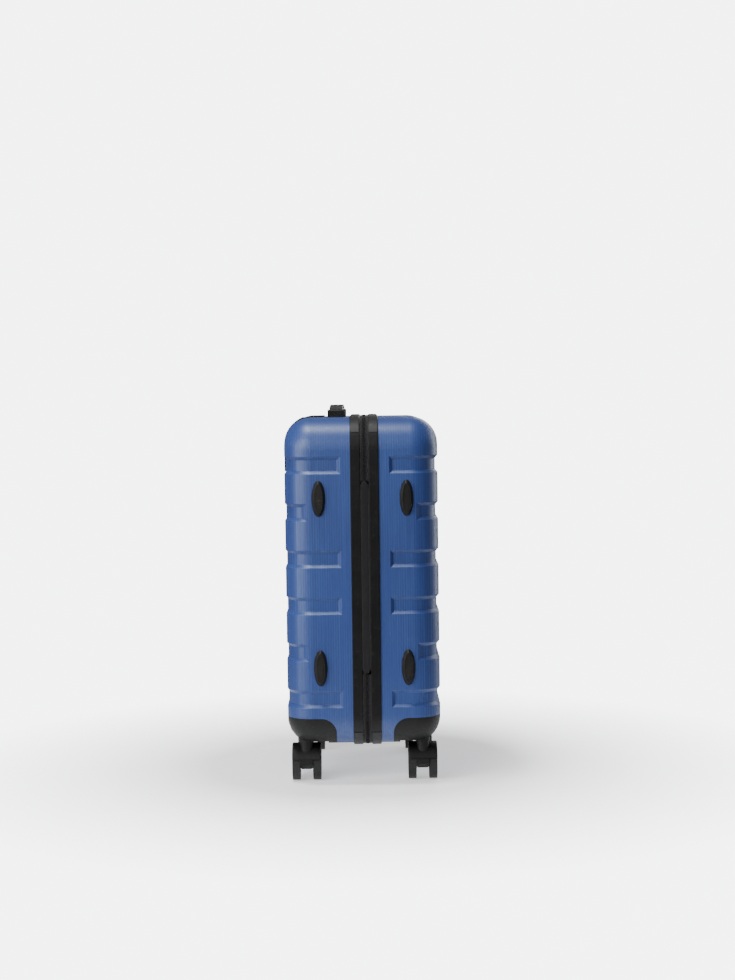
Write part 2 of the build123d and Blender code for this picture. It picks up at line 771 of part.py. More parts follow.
def make_slider(z):
    """A zip slider astride the teeth, with ears and a pin for its pull."""
    body = block_between((0.8, 177.1, z - 6), (9.2, 180.6, z + 6))
    ears = [
        block_between((ZIP_X + 2.35, 180.6, z - EYE_DROP - 2), (ZIP_X + 3.55, 184.5, z - EYE_DROP + 2)),
        block_between((ZIP_X - 3.55, 180.6, z - EYE_DROP - 2), (ZIP_X - 2.35, 184.5, z - EYE_DROP + 2)),
    ]
    with BuildPart() as slider:
        add(body)
        fillet(slider.edges().filter_by(Axis.Y), 2.0)
        fillet(slider.faces().sort_by(Axis.Y)[-1].edges(), 0.5)
        for ear in ears:
            add(ear)
        with BuildSketch(Plane(origin=(ZIP_X - 3.5, EYE_Y, z - EYE_DROP), z_dir=(1, 0, 0))):
            Circle(0.9)
        extrude(amount=7)
    return slider.part


def make_pull(z):
    """The tab that hangs from a slider, with an eye at the top and a slot at the foot."""
    eye = Plane(origin=(ZIP_X, EYE_Y, z - EYE_DROP), z_dir=(1, 0, 0))
    tab = Plane(origin=(ZIP_X, EYE_Y, z - EYE_DROP), x_dir=(1, 0, 0), z_dir=(0, -1, 0))
    with BuildPart() as pull:
        with BuildSketch(eye):
            Circle(2.2)
        extrude(amount=2.0, both=True)
        with BuildSketch(tab):
            with Locations((0, -3)):
                Rectangle(4.0, 6)
            with Locations((0, -17.5)):
                RectangleRounded(7.5, 26, 2.5)
            with Locations((0, -25)):
                SlotOverall(6, 3, rotation=90, mode=Mode.SUBTRACT)
        extrude(amount=0.9, both=True)
        with BuildSketch(eye):
            Circle(0.97)
        extrude(amount=4.0, both=True, mode=Mode.SUBTRACT)
    return pull.part


# ---- linings, straps and pocket -----------------------------------------------------------
def tray(side, start_gap, inset, floor_x):
    """A rounded tray-shaped block, from near the mouth to its floor."""
    mouth = rim_x(side, ZIP_HALF + start_gap)
    with BuildPart() as block:
        with BuildSketch(Plane.YZ.offset(mouth)):
            with Locations((0, MID_Z)):
                RectangleRounded(CASE_WIDTH - 2 * inset, CASE_HEIGHT - 2 * inset, CORNER_R - inset)
        extrude(amount=floor_x - mouth)
        floor = block.faces().sort_by(Axis.X)[0 if side < 0 else -1]
        fillet(floor.edges(), LINING_FLOOR_R[side] + LINING_INSET - inset)
    return block.part


def lining_bumps(side, grow):
    """Where the lining steps in over the wheel housings and the trolley's cup."""
    bumps = []
    for end in ENDS.values():
        near = (side * (48 - grow), end * (95 - grow), 0)
        far = (side * 140, end * 200, SOCKET_TOP + 2 + grow)
        low = tuple(min(a, b) for a, b in zip(near, far))
        high = tuple(max(a, b) for a, b in zip(near, far))
        bumps.append(block_between(low, high))
    if side < 0:
        bumps.append(block_between((-140, -78 - grow, PULL_Z - 5 - grow), (-68 + grow, 78 + grow, 600)))
    return bumps


def make_lining(side):
    """A cloth tray inside one shell, with a rim that is sewn to the frame."""
    floor_x = LINING_FLOOR[side]
    outer = tray(side, 2.5, LINING_INSET, floor_x)
    inner = tray(side, 1.0, LINING_INSET + LINING_T, floor_x - side * LINING_T)
    outer_bumps = lining_bumps(side, 0)
    inner_bumps = lining_bumps(side, LINING_T)
    void = cut_away(inner, *inner_bumps)
    rim = rim_ring(rim_x(side, ZIP_HALF + 2.5), rim_x(side, ZIP_HALF + 3.7), -FRAME_LEG, LINING_INSET + 1)
    with BuildPart() as lining:
        add(outer)
        for bump in outer_bumps:
            add(bump, mode=Mode.SUBTRACT)
        add(void, mode=Mode.SUBTRACT)
        add(rim)
    return lining.part


STRAP_W = 25.0
STRAP_T = 1.2
STRAP_REACH = (104.0, 162.0)
STRAP_X = LINING_FLOOR[-1] + LINING_T


def make_straps():
    """Two packing straps that cross on the floor of the back tray."""
    length = 2 * (STRAP_REACH[0] ** 2 + STRAP_REACH[1] ** 2) ** 0.5
    tilt = Vector(*STRAP_REACH).get_angle(Vector(1, 0))
    with BuildPart() as straps:
        with BuildSketch(Plane.YZ.offset(STRAP_X)):
            with Locations((0, MID_Z)):
                Rectangle(length, STRAP_W, rotation=tilt)
                Rectangle(length, STRAP_W, rotation=-tilt)
        extrude(amount=STRAP_T)
    return straps.part


def make_buckle():
    """The side-release buckle where the straps cross."""
    with BuildPart() as buckle:
        with BuildSketch(Plane.YZ.offset(STRAP_X + STRAP_T)):
            with Locations((0, MID_Z)):
                RectangleRounded(34, 48, 5)
        extrude(amount=6.5)
        fillet(buckle.faces().sort_by(Axis.X)[-1].edges(), 1.5)
        with BuildSketch(Plane.YZ.offset(STRAP_X + STRAP_T + 6.5)):
            with Locations((0, MID_Z + 15), (0, MID_Z - 15)):
                SlotOverall(24, 5)
        extrude(amount=-3, mode=Mode.SUBTRACT)
    return buckle.part


def make_pocket():
    """The flat zipped pocket sewn to the floor of the lid's lining."""
    floor_x = LINING_FLOOR[1] - LINING_T
    with BuildPart() as pocket:
        with BuildSketch(Plane.YZ.offset(floor_x)):
            with Locations((0, MID_Z)):
                RectangleRounded(250, 340, 20)
        extrude(amount=-2.5)
        fillet(pocket.faces().sort_by(Axis.X)[0].edges(), 1.0)
    return pocket.part


def make_hinge_tape():
    """Woven tape between the frames, drawn as its half on the back shell."""
    return block_between((rim_x(-1, ZIP_HALF), -176.9, HINGE_Z[0]), (ZIP_X - 0.3, -176.1, HINGE_Z[1]))


# ---- build and write every piece --------------------------------------------------------
back_openings = [
    block_between((-140, -75.5, PULL_Z - 3), (-69.5, 75.5, 600)),
    well_holes(TOP_HANDLE),
    well_holes(SIDE_HANDLE),
    screw_holes(TOP_HANDLE, 1.5),
    screw_holes(SIDE_HANDLE, 1.5),
]
lock_openings = [
    block_between((32.7, 160, LOCK_Z - 7.3), (62.3, 180, LOCK_Z + 7.3)),
    block_between((68.2, 160, LOCK_Z - 6.8), (85.8, 180, LOCK_Z + 6.8)),
]
write(make_shell(-1, back_openings), "back_shell")
write(make_shell(1, lock_openings), "front_shell")

for name, side in SIDES.items():
    write(rim_frame(side), f"{name}_frame")
    write(corner_caps(side), f"{name}_frame_caps")
    write(zip_tape(side), f"{name}_zip_tape")
    write(side_feet(side), f"{name}_side_feet")
    write(make_lining(side), f"{name}_lining")
    for place, end in ENDS.items():
        corner = f"{name}_{place}"
        write(make_guard(side, end), f"{corner}_guard")
        write(make_fork(side, end), f"{corner}_fork")
        write(make_pins(side, end), f"{corner}_pins")
        write(make_wheel(side, end, side), f"{corner}_outer_wheel")
        write(make_wheel(side, end, -side), f"{corner}_inner_wheel")

write(make_hinge_tape(), "hinge_tape")

for name, plane, crown, thickness, height in (
    ("top", TOP_HANDLE, 19.0, 8.5, 11.5),
    ("side", SIDE_HANDLE, 12.0, 6.5, 8.5),
):
    brackets = cut_away(handle_brackets(plane, height), screw_holes(plane, 1.25))
    write(carry_grip(plane, crown, thickness), f"{name}_handle_grip")
    write(brackets, f"{name}_handle_brackets")
    write(handle_screws(plane), f"{name}_handle_screws")

write(make_bezel(), "trolley_bezel")
write(make_trolley_grip(), "trolley_grip")
write(make_trolley_button(), "trolley_button")
write(make_push_rods(), "trolley_push_rods")
write(make_trolley_base(), "trolley_base")
write(tube_pair(OUTER_TUBE, TUBE_FOOT + 3, PULL_Z - 2.2, TUBE_T), "trolley_outer_tubes")
write(tube_pair(MIDDLE_TUBE, TUBE_FOOT + 10, PULL_Z + 3.5, TUBE_T), "trolley_middle_tubes")
write(tube_pair(INNER_TUBE, TUBE_FOOT + 16, 525.0, TUBE_T), "trolley_inner_tubes")
write(tube_glides(INNER_TUBE, TUBE_FOOT + 16), "trolley_glides")

write(make_lock_case(), "lock_case")
for number, dial_x in enumerate(DIAL_X, start=1):
    write(make_dial(dial_x), f"lock_dial_{number}")
write(make_lock_button(), "lock_button")
for name, slider_z in SLIDER_Z.items():
    write(make_slider(slider_z), f"{name}_zip_slider")
    write(make_pull(slider_z), f"{name}_zip_pull")

write(make_straps(), "packing_straps")
write(make_buckle(), "strap_buckle")
write(make_pocket(), "lid_pocket")
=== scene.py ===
import json
import math

import bpy
import numpy as np
from mathutils import Matrix, Vector, noise


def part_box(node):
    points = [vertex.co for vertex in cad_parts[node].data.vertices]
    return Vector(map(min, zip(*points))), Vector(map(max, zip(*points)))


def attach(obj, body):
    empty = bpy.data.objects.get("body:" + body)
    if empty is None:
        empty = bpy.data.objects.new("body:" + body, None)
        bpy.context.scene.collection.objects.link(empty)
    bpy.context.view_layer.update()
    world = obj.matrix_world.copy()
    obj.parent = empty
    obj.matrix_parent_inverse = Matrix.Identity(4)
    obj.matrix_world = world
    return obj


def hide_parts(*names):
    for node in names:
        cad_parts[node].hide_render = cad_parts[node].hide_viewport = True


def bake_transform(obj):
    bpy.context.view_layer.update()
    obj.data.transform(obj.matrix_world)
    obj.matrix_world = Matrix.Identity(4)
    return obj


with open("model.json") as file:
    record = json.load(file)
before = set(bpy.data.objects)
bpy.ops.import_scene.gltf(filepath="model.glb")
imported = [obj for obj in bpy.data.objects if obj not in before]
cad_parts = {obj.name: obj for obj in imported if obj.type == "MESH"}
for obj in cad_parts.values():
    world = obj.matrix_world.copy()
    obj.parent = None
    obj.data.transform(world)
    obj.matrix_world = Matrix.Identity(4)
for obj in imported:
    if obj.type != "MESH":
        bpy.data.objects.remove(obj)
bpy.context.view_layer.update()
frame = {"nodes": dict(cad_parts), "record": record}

NODES = frame["nodes"]

# ---- camera, floor and light -------------------------------------------------
CAMERA_SPOT = Vector((0.0095, -2.822, 0.5745))
CAMERA_PITCH = math.radians(2.857)
CAMERA_ROLL = math.radians(-0.769)
LENS = 65.842
SENSOR_WIDTH = 36.0
WORLD_LIGHT = 0.25
WORLD_BACKDROP = 6.0


def make_camera():
    data = bpy.data.cameras.new("camera")
    data.sensor_width = SENSOR_WIDTH
    data.lens = LENS
    camera = bpy.data.objects.new("camera", data)
    bpy.context.scene.collection.objects.link(camera)
    tilt = Matrix.Rotation(math.pi / 2 - CAMERA_PITCH, 4, "X")
    roll = Matrix.Rotation(CAMERA_ROLL, 4, "Z")
    camera.matrix_world = Matrix.Translation(CAMERA_SPOT) @ tilt @ roll
    bpy.context.scene.camera = camera


def area_light(name, spot, aim, size, power):
    data = bpy.data.lights.new(name, "AREA")
    data.shape = "RECTANGLE"
    data.size, data.size_y = size
    data.energy = power
    light = bpy.data.objects.new(name, data)
    bpy.context.scene.collection.objects.link(light)
    light.location = spot
    light.rotation_euler = (Vector(aim) - Vector(spot)).to_track_quat("-Z", "Y").to_euler()


def make_world(light, backdrop):
    """A white surround, brighter where it is seen directly than as a light."""
    world = bpy.data.worlds.new("studio")
    bpy.context.scene.world = world
    world.use_nodes = True
    tree = world.node_tree
    background = tree.nodes["Background"]
    background.inputs["Color"].default_value = (0.97, 0.985, 1.0, 1.0)
    path = tree.nodes.new("ShaderNodeLightPath")
    level = tree.nodes.new("ShaderNodeMapRange")
    level.inputs["To Min"].default_value = light
    level.inputs["To Max"].default_value = backdrop
    tree.links.new(path.outputs["Is Camera Ray"], level.inputs["Value"])
    tree.links.new(level.outputs["Result"], background.inputs["Strength"])


# ---- materials ---------------------------------------------------------------
def linear(colour):
    """An sRGB colour, 0 to 255, as the shader's linear values."""
    parts = [c / 255 for c in colour]
    levels = [p / 12.92 if p <= 0.04045 else ((p + 0.055) / 1.055) ** 2.4 for p in parts]
    return (*levels, 1.0)


def lighter(colour, step):
    return tuple(min(255, c + step) for c in colour)


class Finish:
    """A Principled material whose colour, roughness and bump are built up in layers."""

    def __init__(self, name, colour, roughness, metallic=0.0, specular=0.5):
        self.material = bpy.data.materials.new(name)
        self.material.use_nodes = True
        self.tree = self.material.node_tree
        self.shader = self.tree.nodes["Principled BSDF"]
        self.place = self.node("ShaderNodeTexCoord").outputs["Object"]
        self.normal = None
        self.shader.inputs["Base Color"].default_value = linear(colour)
        self.shader.inputs["Roughness"].default_value = roughness
        self.shader.inputs["Metallic"].default_value = metallic
        self.shader.inputs["Specular IOR Level"].default_value = specular
        self.base = linear(colour)
        self.material.diffuse_color = self.base

    def node(self, kind, **settings):
        made = self.tree.nodes.new(kind)
        for key, value in settings.items():
            setattr(made, key, value)
        return made

    def feed(self, socket, value):
        if hasattr(value, "is_output"):
            self.tree.links.new(value, socket)
        else:
            socket.default_value = value

    def math(self, operation, a, b=0.0):
        made = self.node("ShaderNodeMath", operation=operation)
        self.feed(made.inputs[0], a)
        self.feed(made.inputs[1], b)
        return made.outputs[0]

    def noise(self, scale, detail=2.0, rough=0.5):
        """Noise of this scale per metre. Three scales stretch it along an axis."""
        mapping = self.node("ShaderNodeMapping")
        self.feed(mapping.inputs["Vector"], self.place)
        scales = scale if hasattr(scale, "__len__") else (scale,) * 3
        mapping.inputs["Scale"].default_value = scales
        made = self.node("ShaderNodeTexNoise")
        made.inputs["Scale"].default_value = 1.0
        made.inputs["Detail"].default_value = detail
        made.inputs["Roughness"].default_value = rough
        self.feed(made.inputs["Vector"], mapping.outputs["Vector"])
        return made.outputs["Fac"]

    def weave(self, pitch):
        """Over-and-under threads of this pitch, the same on faces turned any way."""
        split = self.node("ShaderNodeSeparateXYZ")
        self.feed(split.inputs[0], self.place)
        turns = [self.math("MULTIPLY", axis, 2 * math.pi / pitch) for axis in split.outputs]
        waves = [self.math("SINE", turn) for turn in turns]
        pairs = [self.math("MULTIPLY", waves[i], waves[(i + 1) % 3]) for i in range(3)]
        total = self.math("ADD", self.math("ADD", pairs[0], pairs[1]), pairs[2])
        return self.math("MULTIPLY_ADD", total, 0.33)

    def ribs(self, axis, pitch):
        """Straight ribs across one axis."""
        split = self.node("ShaderNodeSeparateXYZ")
        self.feed(split.inputs[0], self.place)
        turn = self.math("MULTIPLY", split.outputs[axis], 2 * math.pi / pitch)
        return self.math("SINE", turn)

    def upright_ribs(self, pitch):
        """Fine upright ribs, across X on the narrow sides and across Y on the faces."""
        split = self.node("ShaderNodeSeparateXYZ")
        self.feed(split.inputs[0], self.node("ShaderNodeTexCoord").outputs["Normal"])
        facing = [self.math("ABSOLUTE", axis) for axis in split.outputs]
        over_x = self.math("MULTIPLY", self.ribs(0, pitch), facing[1])
        over_y = self.math("MULTIPLY", self.ribs(1, pitch), facing[0])
        return self.math("ADD", over_x, over_y)

    def stretch(self, value, low, high, to_low=0.0, to_high=1.0):
        made = self.node("ShaderNodeMapRange")
        self.feed(made.inputs["Value"], value)
        made.inputs["From Min"].default_value = low
        made.inputs["From Max"].default_value = high
        made.inputs["To Min"].default_value = to_low
        made.inputs["To Max"].default_value = to_high
        return made.outputs["Result"]

    def tint(self, mask, colour):
        """Another colour where the mask is 1."""
        mix = self.node("ShaderNodeMix", data_type="RGBA")
        self.feed(mix.inputs["Factor"], mask)
        self.feed(mix.inputs["A"], self.base)
        mix.inputs["B"].default_value = linear(colour)
        self.base = mix.outputs["Result"]
        self.feed(self.shader.inputs["Base Color"], self.base)
        return self

    def gloss(self, mask, low, high):
        """Roughness from low, where the mask is 0, to high."""
        self.feed(self.shader.inputs["Roughness"], self.stretch(mask, 0.0, 1.0, low, high))
        return self

    def bump(self, height, depth, strength):
        made = self.node("ShaderNodeBump")
        made.inputs["Strength"].default_value = strength
        made.inputs["Distance"].default_value = depth
        self.feed(made.inputs["Height"], height)
        if self.normal is not None:
            self.feed(made.inputs["Normal"], self.normal)
        self.normal = made.outputs["Normal"]
        self.feed(self.shader.inputs["Normal"], self.normal)
        return self

    def sheen(self, weight, roughness):
        self.shader.inputs["Sheen Weight"].default_value = weight
        self.shader.inputs["Sheen Roughness"].default_value = roughness
        return self


SHELL_RIB_PITCH = 0.0036


def shell_finish():
    """Satin blue sheet with fine vertical brushed lines, soft ribs whose lighter crests are a
    painted highlight, and a few scuffs.
    """
    f = Finish("shell_blue", (33, 54, 112), 0.40, specular=0.65)
    f.shader.inputs["Specular Tint"].default_value = (0.80, 0.90, 1.0, 1.0)
    streaks = f.noise((330.0, 330.0, 1.6), detail=3.0, rough=0.65)
    hairs = f.noise((1500.0, 1500.0, 9.0), detail=2.0)
    cloud = f.noise(7.0, detail=3.0)
    f.tint(f.stretch(streaks, 0.36, 0.62, 0.0, 0.5), (24, 42, 92))
    f.tint(f.stretch(hairs, 0.60, 0.75, 0.0, 0.30), (66, 100, 166))
    f.tint(f.stretch(cloud, 0.40, 0.70, 0.0, 0.16), (34, 70, 138))
    scuff_spots = f.stretch(f.noise(26.0), 0.60, 0.72)
    scuff_lines = f.stretch(f.noise((900.0, 900.0, 60.0)), 0.60, 0.70)
    scuffs = f.math("MULTIPLY", scuff_spots, scuff_lines)
    f.tint(f.math("MULTIPLY", scuffs, 0.2), (90, 130, 190))
    rib_strength = f.stretch(f.noise((40.0, 40.0, 5.0)), 0.40, 0.62, 0.25, 1.0)
    ribs = f.math("MULTIPLY", f.upright_ribs(SHELL_RIB_PITCH), rib_strength)
    # rib crests tinted up to 0.22 of the way to a lighter blue: painted highlight standing in for
    # the light the ribs catch
    f.tint(f.stretch(ribs, 0.0, 1.0, 0.0, 0.22), (70, 100, 160))
    f.gloss(streaks, 0.34, 0.54)
    f.bump(streaks, 0.00012, 0.30)
    f.bump(hairs, 0.00005, 0.35)
    f.bump(ribs, 0.00006, 0.6)
    f.bump(f.noise(95.0, detail=2.0), 0.0002, 0.16)
    return f.material


def moulded_finish(name, colour, worn, roughness, grain=1500.0):
    """Moulded plastic with a fine spark-eroded grain, faint flow marks and rubbed spots."""
    f = Finish(name, colour, roughness, specular=0.22)
    patches = f.noise(38.0, detail=4.0, rough=0.6)
    f.tint(f.stretch(patches, 0.45, 0.75, 0.0, 0.35), worn)
    rub_spots = f.stretch(f.noise(70.0), 0.58, 0.70)
    rub_lines = f.stretch(f.noise((240.0, 240.0, 1100.0)), 0.56, 0.68)
    rubs = f.math("MULTIPLY", rub_spots, rub_lines)
    f.tint(f.math("MULTIPLY", rubs, 0.4), lighter(worn, 45))
    f.gloss(patches, roughness - 0.08, roughness + 0.14)
    f.bump(f.noise(grain, detail=2.0), 0.00006, 0.55)
    f.bump(f.noise(60.0), 0.0003, 0.12)
    return f.material


def wheel_finish():
    """Hard rubbery tread with dust and rolling marks."""
    f = Finish("wheel_rubber", (11, 11, 12), 0.62, specular=0.35)
    dust = f.noise(55.0, detail=5.0, rough=0.7)
    f.tint(f.stretch(dust, 0.46, 0.78, 0.0, 0.42), (40, 39, 38))
    f.gloss(dust, 0.50, 0.82)
    f.bump(f.noise((2600.0, 260.0, 260.0)), 0.00008, 0.5)
    f.bump(f.noise(700.0), 0.0001, 0.35)
    return f.material


def metal_finish(name, colour, roughness, lines):
    """Drawn or turned metal with fine lines and faint stains."""
    f = Finish(name, colour, roughness, metallic=1.0)
    streaks = f.noise(lines, detail=3.0)
    stains = f.noise(45.0, detail=3.0)
    f.tint(f.stretch(stains, 0.50, 0.80, 0.0, 0.3), tuple(int(c * 0.72) for c in colour))
    f.gloss(streaks, roughness - 0.07, roughness + 0.13)
    f.bump(streaks, 0.00003, 0.5)
    return f.material


def cloth_finish(name, colour, thread, pitch, sheen=0.25, ribs=None):
    """Woven cloth: threads of two shades, a little lint and slight fading."""
    f = Finish(name, colour, 0.85, specular=0.25)
    weave = f.weave(pitch)
    if ribs is not None:
        half_ribs = f.math("MULTIPLY", f.ribs(*ribs), 0.5)
        weave = f.math("ADD", f.math("MULTIPLY", weave, 0.5), half_ribs)
    f.tint(f.stretch(weave, -0.3, 0.5, 0.0, 0.75), thread)
    fading = f.stretch(f.noise(30.0, detail=4.0), 0.45, 0.80, 0.0, 0.25)
    f.tint(fading, lighter(thread, 14))
    f.gloss(f.noise(400.0), 0.72, 0.95)
    f.bump(weave, pitch * 0.22, 0.8)
    f.bump(f.noise(2400.0), 0.00005, 0.4)
    return f.sheen(sheen, 0.5).material


def lining_finish():
    """Thin taffeta with a ripstop grid."""
    f = Finish("lining_taffeta", (92, 96, 106), 0.6, specular=0.3)
    weave = f.weave(0.0011)
    lines = [f.stretch(f.ribs(axis, 0.006), 0.93, 1.0) for axis in range(3)]
    level_lines = f.math("MULTIPLY", lines[0], 0.5)
    grid = f.math("MAXIMUM", f.math("MAXIMUM", lines[1], lines[2]), level_lines)
    f.tint(f.stretch(weave, -0.3, 0.5, 0.0, 0.5), (118, 123, 134))
    f.tint(f.math("MULTIPLY", grid, 0.4), (62, 65, 74))
    f.gloss(f.noise(24.0, detail=4.0), 0.48, 0.75)
    f.bump(f.math("ADD", weave, grid), 0.00015, 0.6)
    f.bump(f.noise(24.0, detail=4.0, rough=0.6), 0.004, 0.25)
    return f.sheen(0.3, 0.4).material


SHELL = shell_finish()
BLACK = moulded_finish("black_plastic", (9, 9, 10), (17, 17, 19), 0.42)
SATIN = moulded_finish("guard_plastic", (12, 12, 12), (20, 20, 21), 0.50, grain=1900.0)
# corner caps in a lighter grey than the black frame plastic: painted sheen for the light their
# curved faces reflect
CAP_PAINTED_SHEEN = moulded_finish("cap_plastic_painted_sheen", (30, 30, 31), (42, 42, 44), 0.44)
FOOT = moulded_finish("foot_plastic", (24, 23, 22), (36, 35, 34), 0.42)
SOFT_GRIP = moulded_finish("grip_plastic", (15, 15, 16), (25, 25, 27), 0.46, grain=1100.0)
WHEEL = wheel_finish()
TUBE = metal_finish("tube_aluminium", (166, 169, 174), 0.30, (1600.0, 1600.0, 6.0))
STEEL = metal_finish("steel", (178, 178, 182), 0.26, (30.0, 900.0, 900.0))
ZIP_METAL = metal_finish("zip_metal", (98, 98, 104), 0.34, 500.0)
LOCK_METAL = metal_finish("lock_metal", (120, 121, 126), 0.32, (20.0, 900.0, 900.0))
TAPE = cloth_finish("zip_tape_cloth", (10, 10, 11), (24, 23, 26), 0.0009, sheen=0.08)
HINGE_CLOTH = cloth_finish("hinge_cloth", (8, 8, 9), (20, 19, 22), 0.0012, sheen=0.05)
WEBBING = cloth_finish("webbing", (16, 16, 18), (38, 38, 43), 0.0013, ribs=(1, 0.0026))
LINING = lining_finish()
POCKET_CLOTH = cloth_finish("pocket_cloth", (58, 61, 69), (88, 92, 101), 0.0010)
THREAD = cloth_finish("thread", (26, 25, 28), (46, 45, 49), 0.0005)
COIL = moulded_finish("zip_coil", (9, 9, 10), (18, 18, 19), 0.60)
PAINT = moulded_finish("digit_paint", (222, 224, 226), (200, 201, 204), 0.5)

SLOT_LOOKS = {
    "shell": SHELL,
    "black_plastic": BLACK,
    "foot_plastic": FOOT,
    "wheel": WHEEL,
    "tube": TUBE,
    "steel": STEEL,
    "zip_metal": ZIP_METAL,
    "tape": TAPE,
    "lining": LINING,
    "webbing": WEBBING,
    "dial": BLACK,
    "button": SOFT_GRIP,
}
NODE_LOOKS = {
    "guard": SATIN,
    "fork": SATIN,
    "frame_caps": CAP_PAINTED_SHEEN,
    "handle_grip": SOFT_GRIP,
    "trolley_grip": SOFT_GRIP,
    "lock_case": LOCK_METAL,
    "lock_button": STEEL,
}


def dress_nodes():
    """Give every CAD node its own slot's look, or a closer one chosen by its name."""
    parts = frame["record"]["subparts"]
    by_node = {part["node"]: SLOT_LOOKS[part["material_slot"]] for part in parts}
    for name, node in NODES.items():
        look = by_node[name]
        for ending, special in NODE_LOOKS.items():
            if name.endswith(ending):
                look = special
        node.data.materials.clear()
        node.data.materials.append(look)


# ---- mesh helpers ------------------------------------------------------------
def piece(name, points, faces, look, smooth=40.0):
    """A mesh object from its points and faces, with edges sharper than the angle kept."""
    mesh = bpy.data.meshes.new(name)
    mesh.from_pydata([tuple(p) for p in points], [], faces)
    mesh.update()
    mesh.shade_smooth()
    mesh.set_sharp_from_angle(angle=math.radians(smooth))
    mesh.materials.append(look)
    made = bpy.data.objects.new(name, mesh)
    bpy.context.scene.collection.objects.link(made)
    return made


def apply_modifiers(target):
    """Replace an object's mesh by what its modifiers make of it."""
    graph = bpy.context.evaluated_depsgraph_get()
    final = bpy.data.meshes.new_from_object(target.evaluated_get(graph))
    target.modifiers.clear()
    target.data = final


def thicken(target, thickness):
    solid = target.modifiers.new("thickness", "SOLIDIFY")
    solid.thickness = thickness
    solid.offset = 0.0
    apply_modifiers(target)


def rings_mesh(rings, closed_along=False, closed_round=True):
    """Points and quads through rings of equal length."""
    count = len(rings[0])
    points = [p for ring in rings for p in ring]
    faces = []
    last = len(rings) if closed_along else len(rings) - 1
    round_count = count if closed_round else count - 1
    for i in range(last):
        j = (i + 1) % len(rings)
        for k in range(round_count):
            m = (k + 1) % count
            faces.append((i * count + k, i * count + m, j * count + m, j * count + k))
    if not closed_along and closed_round:
        faces.append(tuple(range(count))[::-1])
        faces.append(tuple(range((len(rings) - 1) * count, len(rings) * count)))
    return points, faces


# ---- the outline of the case's mouth -----------------------------------------
FRAME_PROUD = 0.0021
MOUTH_R = 0.048
rim_low, rim_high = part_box("back_frame")
MOUTH_HALF_Y = (rim_high.y - rim_low.y) / 2 - FRAME_PROUD
MOUTH_HALF_Z = (rim_high.z - rim_low.z) / 2 - FRAME_PROUD
MID_Z = (rim_high.z + rim_low.z) / 2
BACK_RIM_X = rim_high.x
FRONT_RIM_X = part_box("front_frame")[0].x
ZIP_X = (BACK_RIM_X + FRONT_RIM_X) / 2
HINGE_Z = (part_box("hinge_tape")[0].z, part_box("hinge_tape")[1].z)


def mouth_outline(offset, count):
    """Even points round the mouth, each with its outward direction.

    They start at the middle of the hinge side and go upwards.
    """
    half_y, half_z, radius = MOUTH_HALF_Y + offset, MOUTH_HALF_Z + offset, MOUTH_R + offset
    flat_y, flat_z = half_y - radius, half_z - radius
    quarter = radius * math.pi / 2
    total = 4 * (flat_y + flat_z) + 4 * quarter
    corners = [
        (-flat_y, flat_z, math.pi),
        (flat_y, flat_z, math.pi / 2),
        (flat_y, -flat_z, 0.0),
        (-flat_y, -flat_z, -math.pi / 2),
    ]
    legs = []
    for index, (cy, cz, start) in enumerate(corners):
        out = Vector((0, math.cos(start), math.sin(start)))
        along = Vector((0, math.sin(start), -math.cos(start)))
        length = 2 * (flat_z if index % 2 == 0 else flat_y)
        corner = Vector((0, cy, cz + MID_Z))
        legs.append(("line", corner + out * radius - along * length, along, out, length))
        legs.append(("arc", corner, start, None, quarter))
    points = []
    for step in range(count):
        s = (flat_z + total * step / count) % total
        for kind, a, b, out, length in legs:
            if s < length:
                break
            s -= length
        if kind == "line":
            points.append((a + b * s, out))
        else:
            angle = b - s / radius
            way = Vector((0, math.cos(angle), math.sin(angle)))
            points.append((a + way * radius, way))
    return points


def zip_run(offset, pitch):
    """The part of the outline that the zip follows: all but the hinge's stretch."""
    total = 4 * (MOUTH_HALF_Y + MOUTH_HALF_Z + 2 * offset) - (8 - 2 * math.pi) * (MOUTH_R + offset)
    run = mouth_outline(offset, round(total / pitch))
    return [(p, out) for p, out in run if p.y > 0 or not HINGE_Z[0] < p.z < HINGE_Z[1]]


def in_order(run):
    """The zip's run starting just above the hinge instead of part-way along it."""
    gaps = [(run[i][0] - run[i - 1][0]).length for i in range(len(run))]
    first = max(range(len(run)), key=lambda i: gaps[i])
    return run[first:] + run[:first]


# ---- zip ---------------------------------------------------------------------
TOOTH_PITCH = 0.003
TOOTH_HALF = 0.00068
TAPE_STEP = 0.004
STITCH_PITCH = 0.0028
STITCH_LENGTH = 0.0019
STITCH_RADIUS = 0.00028
STITCH_GAP = 0.012
GAP_SHADE_POINTS = 420
ZIP_PROFILE = [
    (-0.0003, 0.0001), (-0.0003, 0.0011), (0.0004, 0.0012), (0.0007, 0.0009), (0.0013, 0.0009),
    (0.0016, 0.0012), (0.0028, 0.0012), (0.0034, 0.0010), (0.0056, 0.0008), (0.0056, 0.0002),
]
TURN_STATIONS = ((0.0040, 0.8), (0.0046, 1.0), (0.0064, 1.0), (0.0068, 0.75))
GAP_SHADE_PROFILE = [(-0.0002, -0.0009), (-0.0002, -0.0003), (0.0085, -0.0003), (0.0085, -0.0009)]


def swept_band(run, profile, x_sign, x_start):
    """A band along the run; the profile's points are (distance from the rim, height)."""
    rings = []
    for spot, out in run:
        rings.append([
            spot + out * high + Vector((x_start + x_sign * over, 0, 0)) for over, high in profile
        ])
    return rings_mesh(rings)


